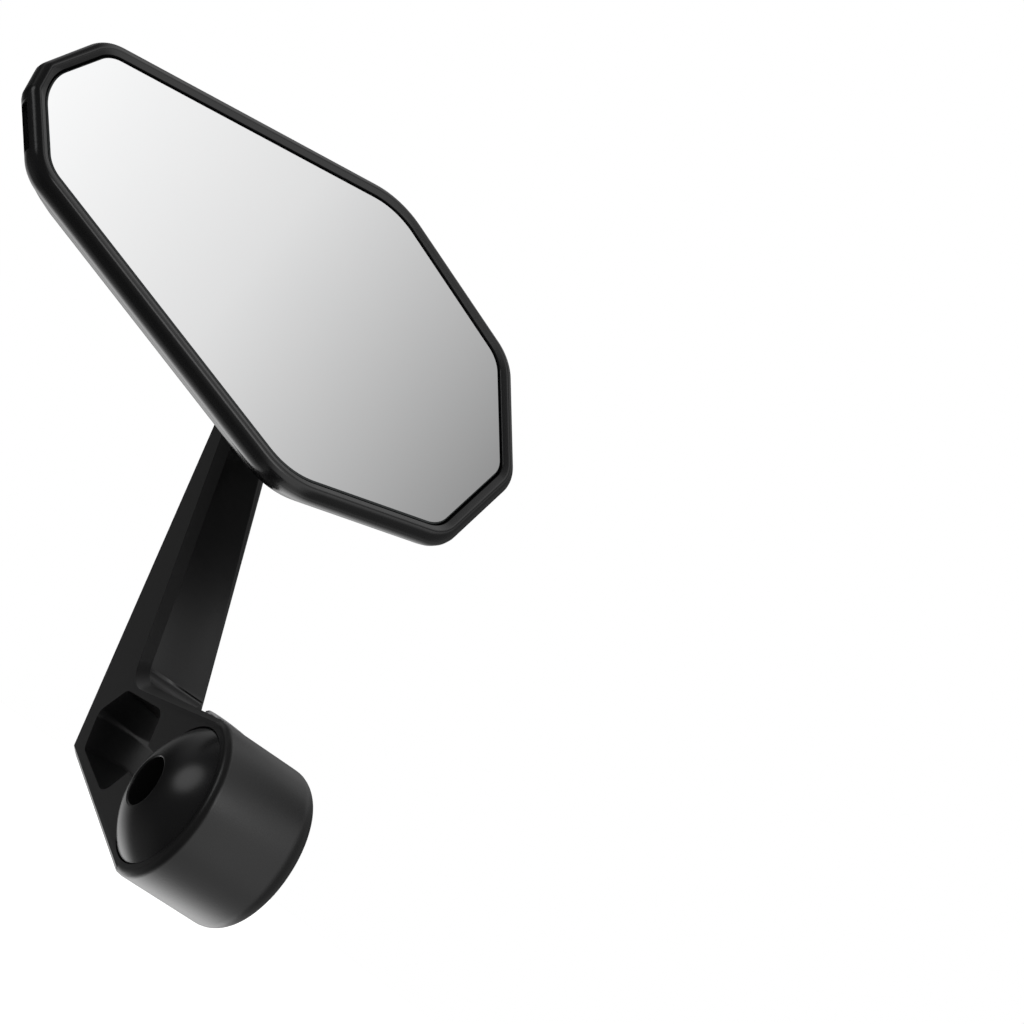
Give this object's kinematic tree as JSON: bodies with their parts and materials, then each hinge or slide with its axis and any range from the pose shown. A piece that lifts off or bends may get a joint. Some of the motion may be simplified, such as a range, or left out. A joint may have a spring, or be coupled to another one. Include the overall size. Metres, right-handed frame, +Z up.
{
  "type": "motorcycle mirror",
  "caption": "Left-hand bar-end motorcycle mirror: a clamp ring on a bar plug, a cranked arm with a window, and a ball-jointed octagonal mirror head.",
  "frame": {"origin": "centre of the plug's inboard end face, on the handlebar's axis", "axes": "+X along the handlebar's axis, inboard; +Y forward; +Z up; the glass faces -Y and up"},
  "size_m": [0.1347, 0.1223, 0.1414],
  "materials": {
    "satin_black_metal": "satin",
    "gloss_black_anodised": "gloss",
    "zinc_steel": "satin",
    "bright_steel": "polished",
    "black_steel": "satin",
    "nylon": "satin",
    "satin_black_plastic": "satin",
    "black_plastic": "matte",
    "black_foam": "matte",
    "mirror_glass": "polished"
  },
  "bodies": {
    "plug": {"bar_plug": "gloss_black_anodised"},
    "arm": {"arm": "satin_black_metal", "pinch_screw": "zinc_steel", "stud_washer": "bright_steel", "stud_ring": "black_steel"},
    "stud": {"ball_stud": "bright_steel"},
    "seat": {"ball_seat": "nylon"},
    "head": {"housing": "satin_black_plastic", "pressure_cup": "nylon", "wave_spring": "zinc_steel", "retaining_plate": "zinc_steel", "plate_screws": "zinc_steel", "glass_carrier": "black_plastic", "adhesive_pad": "black_foam", "glass": "mirror_glass"}
  },
  "joints": [
    {"name": "arm_swing", "type": "hinge", "parent": "plug", "child": "arm", "pos_m": [0, 0, 0], "axis": [1, 0, 0], "continuous": true},
    {"name": "head_spin", "type": "hinge", "parent": "arm", "child": "stud", "pos_m": [-0.0173, 0.08102, 0.07674], "axis": [0, -0.7615, 0.6481], "range_deg": [-50, 50]},
    {"name": "head_tilt", "type": "hinge", "parent": "stud", "child": "seat", "pos_m": [-0.0173, 0.08102, 0.07674], "axis": [0.9987, -0.0328, -0.0385], "range_deg": [-10, 10]},
    {"name": "head_pan", "type": "hinge", "parent": "seat", "child": "head", "pos_m": [-0.0173, 0.08102, 0.07674], "axis": [0.0506, 0.6473, 0.7606], "range_deg": [-10, 10]}
  ]
}
